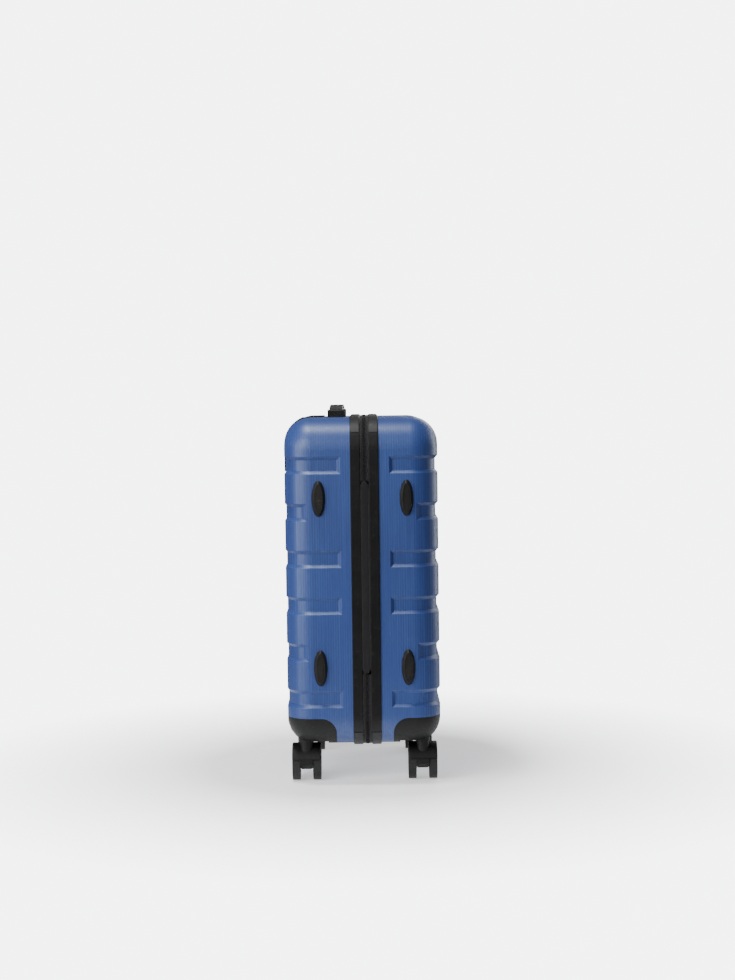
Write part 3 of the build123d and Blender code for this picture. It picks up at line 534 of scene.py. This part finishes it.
def make_zip(name, side, body):
    """One shell's half of the zip: sewn tape, then a row of interlocking coil turns."""
    start = BACK_RIM_X if side < 0 else FRONT_RIM_X
    toward = -side
    run = in_order(zip_run(0.0, TAPE_STEP))
    points, faces = swept_band(run, ZIP_PROFILE, toward, start)
    tape = piece(f"{name}_zip_tape_cloth", points, faces, TAPE)
    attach(tape, body)
    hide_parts(f"{name}_zip_tape")
    points, faces = [], []
    turns = in_order(zip_run(0.0008, TOOTH_PITCH / 2))
    half = TOOTH_HALF
    section = [
        (-half, 0.0), (-half, 0.0006), (-half * 0.45, 0.0010),
        (half * 0.45, 0.0010), (half, 0.0006), (half, 0.0),
    ]
    for index, (spot, out) in enumerate(turns):
        if index % 2 != (0 if side < 0 else 1):
            continue
        along = Vector((0, out.z, -out.y))
        first = len(points)
        for over, lift in TURN_STATIONS:
            reach = Vector((start + toward * over, 0, 0))
            for across, high in section:
                points.append(spot + out * (high * lift) + along * across + reach)
        for ring in range(3):
            for k in range(6):
                a, b = first + ring * 6 + k, first + ring * 6 + (k + 1) % 6
                faces.append((a, b, b + 6, a + 6))
        faces.append(tuple(first + k for k in range(6))[::-1])
        faces.append(tuple(first + 18 + k for k in range(6)))
    coil = piece(f"{name}_zip_coil", points, faces, COIL, smooth=50.0)
    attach(coil, body)
    seam = Vector((start + toward * 0.001, 0, 0))
    stitch_run = in_order(zip_run(0.0, STITCH_PITCH))
    stitch_run = [(p + out * 0.0009 + seam, out) for p, out in stitch_run]
    make_stitches(f"{name}_zip_stitches", stitch_run, STITCH_LENGTH, STITCH_RADIUS, body)


def make_zip_flap():
    """A thin dark cloth strip behind the zip, held to the back half, closing the gap between the
    zip halves: painted shade where light would otherwise show through.
    """
    rings = []
    for spot, out in mouth_outline(0.0, GAP_SHADE_POINTS):
        rings.append([
            spot + out * high + Vector((BACK_RIM_X + over, 0, 0)) for over, high in GAP_SHADE_PROFILE
        ])
    points, faces = rings_mesh(rings, closed_along=True)
    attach(piece("zip_gap_shade", points, faces, TAPE), "case")


def make_stitches(name, run, length, radius, body):
    """A row of small rounded stitches along a run of points and outward directions."""
    points, faces = [], []
    for index in range(len(run) - 1):
        spot, out = run[index]
        along = run[index + 1][0] - spot
        if along.length > STITCH_GAP or along.length < 1e-6:
            continue
        along.normalize()
        across = along.cross(out).normalized()
        first = len(points)
        for part in (-0.5, -0.3, 0.3, 0.5):
            lift, wide = (0.15, 0.5) if abs(part) > 0.4 else (1.0, 1.0)
            centre = spot + along * (part * length)
            for k in range(5):
                angle = math.pi * k / 4
                sideways = across * (math.cos(angle) * radius * wide)
                points.append(centre + sideways + out * (math.sin(angle) * radius * lift))
        for ring in range(3):
            for k in range(4):
                a = first + ring * 5 + k
                faces.append((a, a + 1, a + 6, a + 5))
    row = piece(name, points, faces, THREAD, smooth=60.0)
    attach(row, body)


def make_hinge_tape():
    """The woven hinge: one cloth from frame to frame, crowned, with a sewn fold near each edge."""
    low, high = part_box("hinge_tape")
    left, right = BACK_RIM_X - 0.0002, FRONT_RIM_X + 0.0002
    columns, rows_count = 30, 110
    rings = []
    for i in range(rows_count + 1):
        along = i / rows_count
        ring = []
        for k in range(columns + 1):
            part = k / columns
            x = left + (right - left) * part
            edge = abs(part - 0.5) * 2
            cut = 0.006 * max(0.0, (edge - 0.35) / 0.65)
            z = low.z + cut + (high.z - low.z - 2 * cut) * along
            crown = 0.00045 * (1 - edge ** 2)
            fold = 0.00022 * math.exp(-(((edge - 0.74) / 0.06) ** 2))
            ripple = 0.00012 * noise.noise(Vector((x * 160, 3.1, z * 26)))
            ring.append(Vector((x, low.y + 0.0005 - crown + fold + ripple, z)))
        rings.append(ring)
    points, faces = rings_mesh(rings, closed_round=False)
    cloth = piece("hinge_cloth", points, faces, HINGE_CLOTH)
    thicken(cloth, 0.0006)
    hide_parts("hinge_tape")
    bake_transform(cloth)
    seams = (
        ("hinge_stitches_back", left + 0.0013, "case"),
        ("hinge_stitches_front", right - 0.0013, "lid"),
    )
    count = int((high.z - low.z - 0.014) / STITCH_PITCH)
    outward = Vector((0, -1, 0))
    for name, x, body in seams:
        run = []
        for i in range(count):
            run.append((Vector((x, low.y + 0.00015, low.z + 0.007 + STITCH_PITCH * i)), outward))
        make_stitches(name, run, STITCH_LENGTH, STITCH_RADIUS, body)


# ---- linings -----------------------------------------------------------------
def make_tube(name, path, radius, look, body, sides=8):
    """A closed tube through a loop of points."""
    count = len(path)
    rings = []
    for i in range(count):
        along = (path[(i + 1) % count] - path[i - 1]).normalized()
        side = along.cross(Vector((1, 0, 0)))
        side = side.normalized() if side.length > 1e-6 else Vector((0, 1, 0))
        up = side.cross(along).normalized()
        ring = []
        for k in range(sides):
            angle = 2 * math.pi * k / sides
            sideways = side * (math.cos(angle) * radius)
            ring.append(path[i] + sideways + up * (math.sin(angle) * radius))
        rings.append(ring)
    points, faces = rings_mesh(rings, closed_along=True)
    tube = piece(name, points, faces, look)
    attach(tube, body)


LINING_INSET = 0.0076
LINING_STEP = 0.0052
LINING_POINTS = 300
BEND_STEPS = 8
BACK_BEND = 0.0274
FRONT_BEND = 0.0334
SEAM_POINTS = 540
HOUSING_X = 0.0474
HOUSING_Y = 0.0944
HOUSING_TOP = 0.0806
CUP_BOTTOM = 0.4889
CUP_HALF_Y = 0.0786
CUP_FACE_X = -0.0674


def lining_ring(inset, x, count):
    """One ring of the lining; past the middle of the floor it closes on a line."""
    half_y = max(MOUTH_HALF_Y - inset, 0.0)
    half_z = max(MOUTH_HALF_Z - inset, MOUTH_HALF_Z - MOUTH_HALF_Y)
    ring = []
    grow_y = half_y / (MOUTH_HALF_Y - LINING_INSET)
    grow_z = half_z / (MOUTH_HALF_Z - LINING_INSET)
    for spot, _ in mouth_outline(-LINING_INSET, count):
        ring.append(Vector((x, spot.y * grow_y, MID_Z + (spot.z - MID_Z) * grow_z)))
    return ring


def push_out(point, block):
    """Lift a point that is inside a block onto its nearest side or its crown, its last face."""
    depths = [(limit - point[axis]) * way for axis, limit, way in block]
    if min(depths) <= 0:
        return point
    rise = depths[-1]
    near, index = min((depth, index) for index, depth in enumerate(depths[:-1]))
    axis, limit, way = block[index]
    crown_axis, crown_limit, crown_way = block[-1]
    moved = point.copy()
    if near < rise / 2:
        moved[axis] = limit
        moved[crown_axis] += crown_way * 2 * near
    else:
        moved[crown_axis] = crown_limit
        if near < rise:
            moved[axis] = limit - way * (2 * near - rise)
    return moved


def lining_blocks(side):
    """The wheel housings, and in the back shell the trolley's cup, that the lining steps over.

    A block is a list of faces: axis, where the face is, and which way is out of the block.
    """
    blocks = []
    for end in (-1, 1):
        blocks.append((
            (0, side * HOUSING_X, side * -1), (1, end * HOUSING_Y, -end), (2, HOUSING_TOP, 1),
        ))
    if side < 0:
        blocks.append((
            (2, CUP_BOTTOM, -1), (1, CUP_HALF_Y, 1), (1, -CUP_HALF_Y, -1), (0, CUP_FACE_X, 1),
        ))
    return blocks


def make_lining(name, side, body):
    """A sewn tray of taffeta inside one shell, with piping at the floor's edge and a bound rim."""
    low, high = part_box(f"{name}_lining")
    rim_x = high.x - 0.0006 if side < 0 else low.x + 0.0006
    floor_x = low.x + 0.0006 if side < 0 else high.x - 0.0006
    bend = BACK_BEND if side < 0 else FRONT_BEND
    depth = abs(floor_x - rim_x)
    stations = [(0.0037, 0.0), (LINING_INSET - 0.0008, 0.0), (LINING_INSET, 0.0012)]
    wall_steps = round((depth - bend) / LINING_STEP)
    stations += [(LINING_INSET, (depth - bend) * (i + 1) / wall_steps) for i in range(wall_steps)]
    for i in range(1, BEND_STEPS + 1):
        angle = math.pi / 2 * i / BEND_STEPS
        inset = LINING_INSET + bend * (1 - math.cos(angle))
        stations.append((inset, depth - bend + bend * math.sin(angle)))
    floor_from = LINING_INSET + bend
    floor_steps = round((MOUTH_HALF_Y - floor_from) / LINING_STEP)
    for i in range(floor_steps):
        stations.append((floor_from + (MOUTH_HALF_Y - floor_from) * (i + 1) / floor_steps, depth))
    blocks = lining_blocks(side)
    inward = Vector((-side, 0, 0))
    centre = Vector((ZIP_X + side * 0.04, 0, MID_Z))
    rings = []
    for index, (inset, deep) in enumerate(stations):
        x = rim_x + side * deep
        ring = []
        for point in lining_ring(inset, x, LINING_POINTS):
            if index > 3:
                ripple = noise.noise(point * 22) * 0.6 + noise.noise(point * 61) * 0.4
                reach = min(1.0, (index - 3) / 5)
                fade = min(1.0, max(0.0, inset - floor_from) / 0.03)
                on_floor = inward * (fade * 0.0006 * (ripple - 0.75))
                on_wall = (centre - point).normalized() * ((1 - fade) * 0.0011 * (0.5 + ripple))
                point = point + (on_floor + on_wall) * reach
            for block in blocks:
                point = push_out(point, block)
            ring.append(point)
        rings.append(ring)
    points, faces = rings_mesh(rings)
    faces = faces[:-2]
    lining = piece(f"{name}_lining_cloth", points, faces, LINING, smooth=70.0)
    weld = lining.modifiers.new("weld", "WELD")
    weld.merge_threshold = 0.00002
    apply_modifiers(lining)
    thicken(lining, 0.0009)
    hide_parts(f"{name}_lining")
    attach(lining, body)
    mid_bend = 3 + wall_steps + BEND_STEPS // 2
    make_tube(f"{name}_lining_piping", rings[mid_bend], 0.0015, POCKET_CLOTH, body)
    make_tube(f"{name}_lining_binding", rings[1], 0.0011, TAPE, body)
    seam_x = rim_x + inward.x * 0.0005
    seam = lining_ring(0.0056, rim_x, SEAM_POINTS)
    rim_run = [(Vector((seam_x, p.y, p.z)), inward) for p in seam]
    make_stitches(f"{name}_lining_stitches", rim_run, STITCH_LENGTH, 0.00026, body)


# ---- straps, buckle and pocket -----------------------------------------------
STRAP_LENGTH = 0.3850
STRAP_WIDTH = 0.0250
STRAP_THICK = 0.0011
STRAP_STEPS = 120
STRAP_SECTION = (
    (-1, -0.35), (-0.96, -0.5), (0, -0.55), (0.96, -0.5), (1, -0.35),
    (1, 0.35), (0.96, 0.5), (0, 0.58), (-0.96, 0.5), (-1, 0.35),
)


def make_strap(name, tilt, lift, body):
    """Flat webbing across the tray, sewn down at both ends; one lies over the other."""
    low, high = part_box("packing_straps")
    rings = []
    for i in range(STRAP_STEPS + 1):
        along = (i / STRAP_STEPS - 0.5) * STRAP_LENGTH
        hump = lift * math.exp(-((along / 0.030) ** 2))
        slack = 0.0005 * math.sin(along * 46) * (1 - (2 * along / STRAP_LENGTH) ** 6)
        ring = []
        for across, high_up in STRAP_SECTION:
            x = high_up * STRAP_THICK + hump + slack
            ring.append(Vector((x, across * STRAP_WIDTH / 2, along)))
        rings.append(ring)
    points, faces = rings_mesh(rings)
    strap = piece(name, points, faces, WEBBING)
    strap.location = ((low.x + high.x) / 2, 0, MID_Z)
    strap.rotation_euler = (tilt, 0, 0)
    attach(strap, body)
    place = Matrix.Translation(strap.location) @ Matrix.Rotation(tilt, 4, "X")
    seam = []
    for end in (-1, 1):
        a, b = end * (STRAP_LENGTH / 2 - 0.005), end * (STRAP_LENGTH / 2 - 0.024)
        box = [
            (-0.009, a), (0.009, a), (0.009, b), (-0.009, b),
            (-0.009, a), (0.009, b), (-0.009, b), (0.009, a),
        ]
        for (y0, z0), (y1, z1) in zip(box, box[1:]):
            steps = max(1, round(math.hypot(y1 - y0, z1 - z0) / 0.0026))
            for s in range(steps):
                y, z = y0 + (y1 - y0) * s / steps, z0 + (z1 - z0) * s / steps
                seam.append(Vector((0.0006, y, z)))
    run = [(place @ p, Vector((1, 0, 0))) for p in seam]
    make_stitches(f"{name}_stitches", run, 0.0018, 0.0003, body)
    return strap


POCKET_RADIUS = 0.020
POCKET_ZIP_DROP = 0.032
POCKET_BORDER_POINTS = 240
POCKET_ZIP_PROFILE = [
    (-0.006, 0.0), (-0.0055, 0.0005), (-0.0012, 0.0006), (-0.0012, 0.0012),
    (0.0012, 0.0012), (0.0012, 0.0006), (0.0055, 0.0005), (0.006, 0.0),
]


def make_pocket():
    """A flat pocket on the lid's lining: crowned cloth, bound edges and a zip near its top."""
    low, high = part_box("lid_pocket")
    half_y, half_z = (high.y - low.y) / 2, (high.z - low.z) / 2
    mid_z = (high.z + low.z) / 2
    radius = POCKET_RADIUS
    columns, rows_count = 60, 80
    rings = []
    for i in range(rows_count + 1):
        v = i / rows_count * 2 - 1
        z = v * half_z
        over = max(0.0, abs(z) - (half_z - radius))
        reach = half_y - radius + math.sqrt(max(radius ** 2 - over ** 2, 0.0))
        ring = []
        for k in range(columns + 1):
            y = (k / columns * 2 - 1) * reach
            edge = min(reach - abs(y), half_z - abs(z))
            crown = 0.0017 * min(1.0, edge / 0.03) ** 0.6
            waves = noise.noise(Vector((7.0, y * 25, z * 14)))
            ripple = 0.0004 * waves * min(1.0, edge / 0.02)
            seam = 0.0006 * math.exp(-(((z - half_z + POCKET_ZIP_DROP) / 0.003) ** 2))
            ring.append(Vector((high.x - 0.0004 - crown - ripple + seam, y, mid_z + z)))
        rings.append(ring)
    points, faces = rings_mesh(rings, closed_round=False)
    pocket = piece("lid_pocket_cloth", points, faces, POCKET_CLOTH)
    thicken(pocket, 0.0006)
    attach(pocket, "lid")
    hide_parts("lid_pocket")
    border = []
    for index in range(POCKET_BORDER_POINTS):
        angle = 2 * math.pi * index / POCKET_BORDER_POINTS
        y, z = math.cos(angle), math.sin(angle)
        scale = 1 / max(abs(y) / half_y, abs(z) / half_z)
        y, z = y * scale, z * scale
        if abs(y) > half_y - radius and abs(z) > half_z - radius:
            corner_y = math.copysign(half_y - radius, y)
            corner = Vector((0, corner_y, math.copysign(half_z - radius, z)))
            way = (Vector((0, y, z)) - corner).normalized()
            border.append(corner + way * radius + Vector((high.x - 0.0006, 0, mid_z)))
        else:
            border.append(Vector((high.x - 0.0006, y, z + mid_z)))
    make_tube("lid_pocket_binding", border, 0.0012, TAPE, "lid")
    zip_z = mid_z + half_z - POCKET_ZIP_DROP
    base_x = high.x - 0.0021
    rings = []
    for y in np.linspace(-half_y + 0.016, half_y - 0.016, 60):
        rings.append([Vector((base_x - up, y, zip_z + over)) for over, up in POCKET_ZIP_PROFILE])
    points, faces = rings_mesh(rings)
    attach(piece("lid_pocket_zip", points, faces, COIL), "lid")


# ---- wheels and lock ---------------------------------------------------------
HUB_RIBS = 10
RIB_STATIONS = ((0.0070, 0.0014, 0.0012), (0.0120, 0.0010, 0.0009), (0.0187, 0.0016, 0.0013))


def make_hub(node, body, hand):
    """Ten ribs in the dished face of one wheel, from the hub to the tread."""
    low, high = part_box(node)
    centre = (low + high) / 2
    face_x = (high.x if hand > 0 else low.x) - hand * 0.0014
    points, faces = [], []
    for rib in range(HUB_RIBS):
        angle = 2 * math.pi * rib / HUB_RIBS
        out = Vector((0, math.cos(angle), math.sin(angle)))
        across = Vector((0, -math.sin(angle), math.cos(angle)))
        first = len(points)
        for distance, wide, tall in RIB_STATIONS:
            spot = Vector((face_x, centre.y, centre.z)) + out * distance
            for side, share in ((-1, 0.0), (-0.75, 1.0), (0.75, 1.0), (1, 0.0)):
                lift = Vector((hand * (tall * share - 0.0001), 0, 0))
                points.append(spot + across * (side * wide) + lift)
        for ring in range(2):
            for k in range(3):
                a = first + ring * 4 + k
                faces.append((a, a + 1, a + 5, a + 4))
    hub = piece(f"{node}_ribs", points, faces, WHEEL, smooth=30.0)
    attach(hub, body)


DIGIT_SIZE = 0.0030


def make_digits(number):
    """The numbers 0 to 9 painted round one dial."""
    node = f"lock_dial_{number}"
    low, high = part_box(node)
    centre = (low + high) / 2
    radius = (high.z - low.z) / 2 + 0.00002
    parts = []
    for digit in range(10):
        text = bpy.data.curves.new("digit", "FONT")
        text.body = str(digit)
        text.size = DIGIT_SIZE
        text.align_x, text.align_y = "CENTER", "CENTER"
        text.resolution_u = 3
        holder = bpy.data.objects.new("digit", text)
        bpy.context.scene.collection.objects.link(holder)
        bpy.context.view_layer.update()
        graph = bpy.context.evaluated_depsgraph_get()
        mesh = bpy.data.meshes.new_from_object(holder.evaluated_get(graph))
        bpy.data.objects.remove(holder)
        upright = Matrix(((-1, 0, 0, 0), (0, 0, 1, 0), (0, 1, 0, 0), (0, 0, 0, 1)))
        turn = Matrix.Rotation(2 * math.pi * digit / 10, 4, "X")
        outwards = Matrix.Translation((0, radius, 0))
        mesh.transform(Matrix.Translation(centre) @ turn @ outwards @ upright)
        parts.append(mesh)
    points, faces = [], []
    for mesh in parts:
        first = len(points)
        points += [v.co.copy() for v in mesh.vertices]
        faces += [tuple(first + i for i in face.vertices) for face in mesh.polygons]
    digits = piece(f"{node}_digits", points, faces, PAINT)
    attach(digits, f"dial_{number}")


# ---- floor -------------------------------------------------------------------
FLOOR_RADII = (0.0, 0.4, 0.8, 1.4, 2.4, 4.0, 7.0)
FLOOR_SPOKES = 64


def make_floor():
    """A pale studio floor, faintly glossy, that fades into the white surround."""
    f = Finish("floor", (246, 247, 249), 0.25, specular=0.35)
    f.gloss(f.noise(3.0), 0.20, 0.28)
    across = f.node("ShaderNodeVectorMath", operation="LENGTH")
    f.feed(across.inputs[0], f.place)
    fade = f.stretch(across.outputs["Value"], 0.24, 0.72)
    clear = f.node("ShaderNodeBsdfTransparent")
    f.shader.inputs["Emission Color"].default_value = (1.0, 1.0, 1.0, 1.0)
    f.shader.inputs["Emission Strength"].default_value = 0.55
    blend = f.node("ShaderNodeMixShader")
    f.feed(blend.inputs["Fac"], fade)
    f.tree.links.new(f.shader.outputs["BSDF"], blend.inputs[1])
    f.tree.links.new(clear.outputs["BSDF"], blend.inputs[2])
    surface = f.tree.nodes["Material Output"].inputs["Surface"]
    f.tree.links.new(blend.outputs["Shader"], surface)
    angles = [math.tau * k / FLOOR_SPOKES for k in range(FLOOR_SPOKES)]
    spokes = [Vector((math.cos(angle), math.sin(angle), 0)) for angle in angles]
    rings = [[spoke * radius for spoke in spokes] for radius in FLOOR_RADII]
    points, faces = rings_mesh(rings)
    floor = piece("floor", points, faces[:-2], f.material)


# ---- make everything ---------------------------------------------------------
make_camera()
make_world(WORLD_LIGHT, WORLD_BACKDROP)
area_light("overhead", (-0.42, -0.46, 2.45), (0.0, 0.0, 0.25), (0.45, 0.45), 44.0)
area_light("front_softbox", (-0.85, -1.50, 1.15), (-0.06, -0.17, 0.42), (1.0, 0.9), 27.0)
area_light("near_strip", (-0.52, -0.62, 0.42), (-0.07, -0.17, 0.36), (0.16, 0.9), 1.8)
area_light("left_softbox", (-1.9, -1.15, 0.6), (0.0, 0.0, 0.30), (0.35, 1.5), 18.0)
area_light("right_strip", (1.6, 0.9, 0.7), (0.0, 0.0, 0.30), (0.4, 1.5), 16.0)
area_light("back_softbox", (0.9, 2.3, 1.5), (0.0, 0.0, 0.30), (1.2, 1.2), 22.0)
make_floor()
dress_nodes()
make_zip("back", -1, "case")
make_zip("front", 1, "lid")
make_zip_flap()
make_hinge_tape()
make_lining("back", -1, "case")
make_lining("front", 1, "lid")
STRAP_ACROSS, STRAP_UP = 104.0, 162.0
strap_tilt = math.atan2(STRAP_ACROSS, STRAP_UP)
first_strap = make_strap("packing_strap_under", strap_tilt, 0.0, "case")
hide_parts("packing_straps")
make_strap("packing_strap_over", -strap_tilt, 0.0012, "case")
make_pocket()
for shell, hand in (("back", -1), ("front", 1)):
    for place in ("hinge", "lock"):
        corner = f"{shell}_{place}"
        make_hub(f"{corner}_outer_wheel", f"{corner}_outer", hand)
        make_hub(f"{corner}_inner_wheel", f"{corner}_inner", -hand)
for dial in (1, 2, 3):
    make_digits(dial)
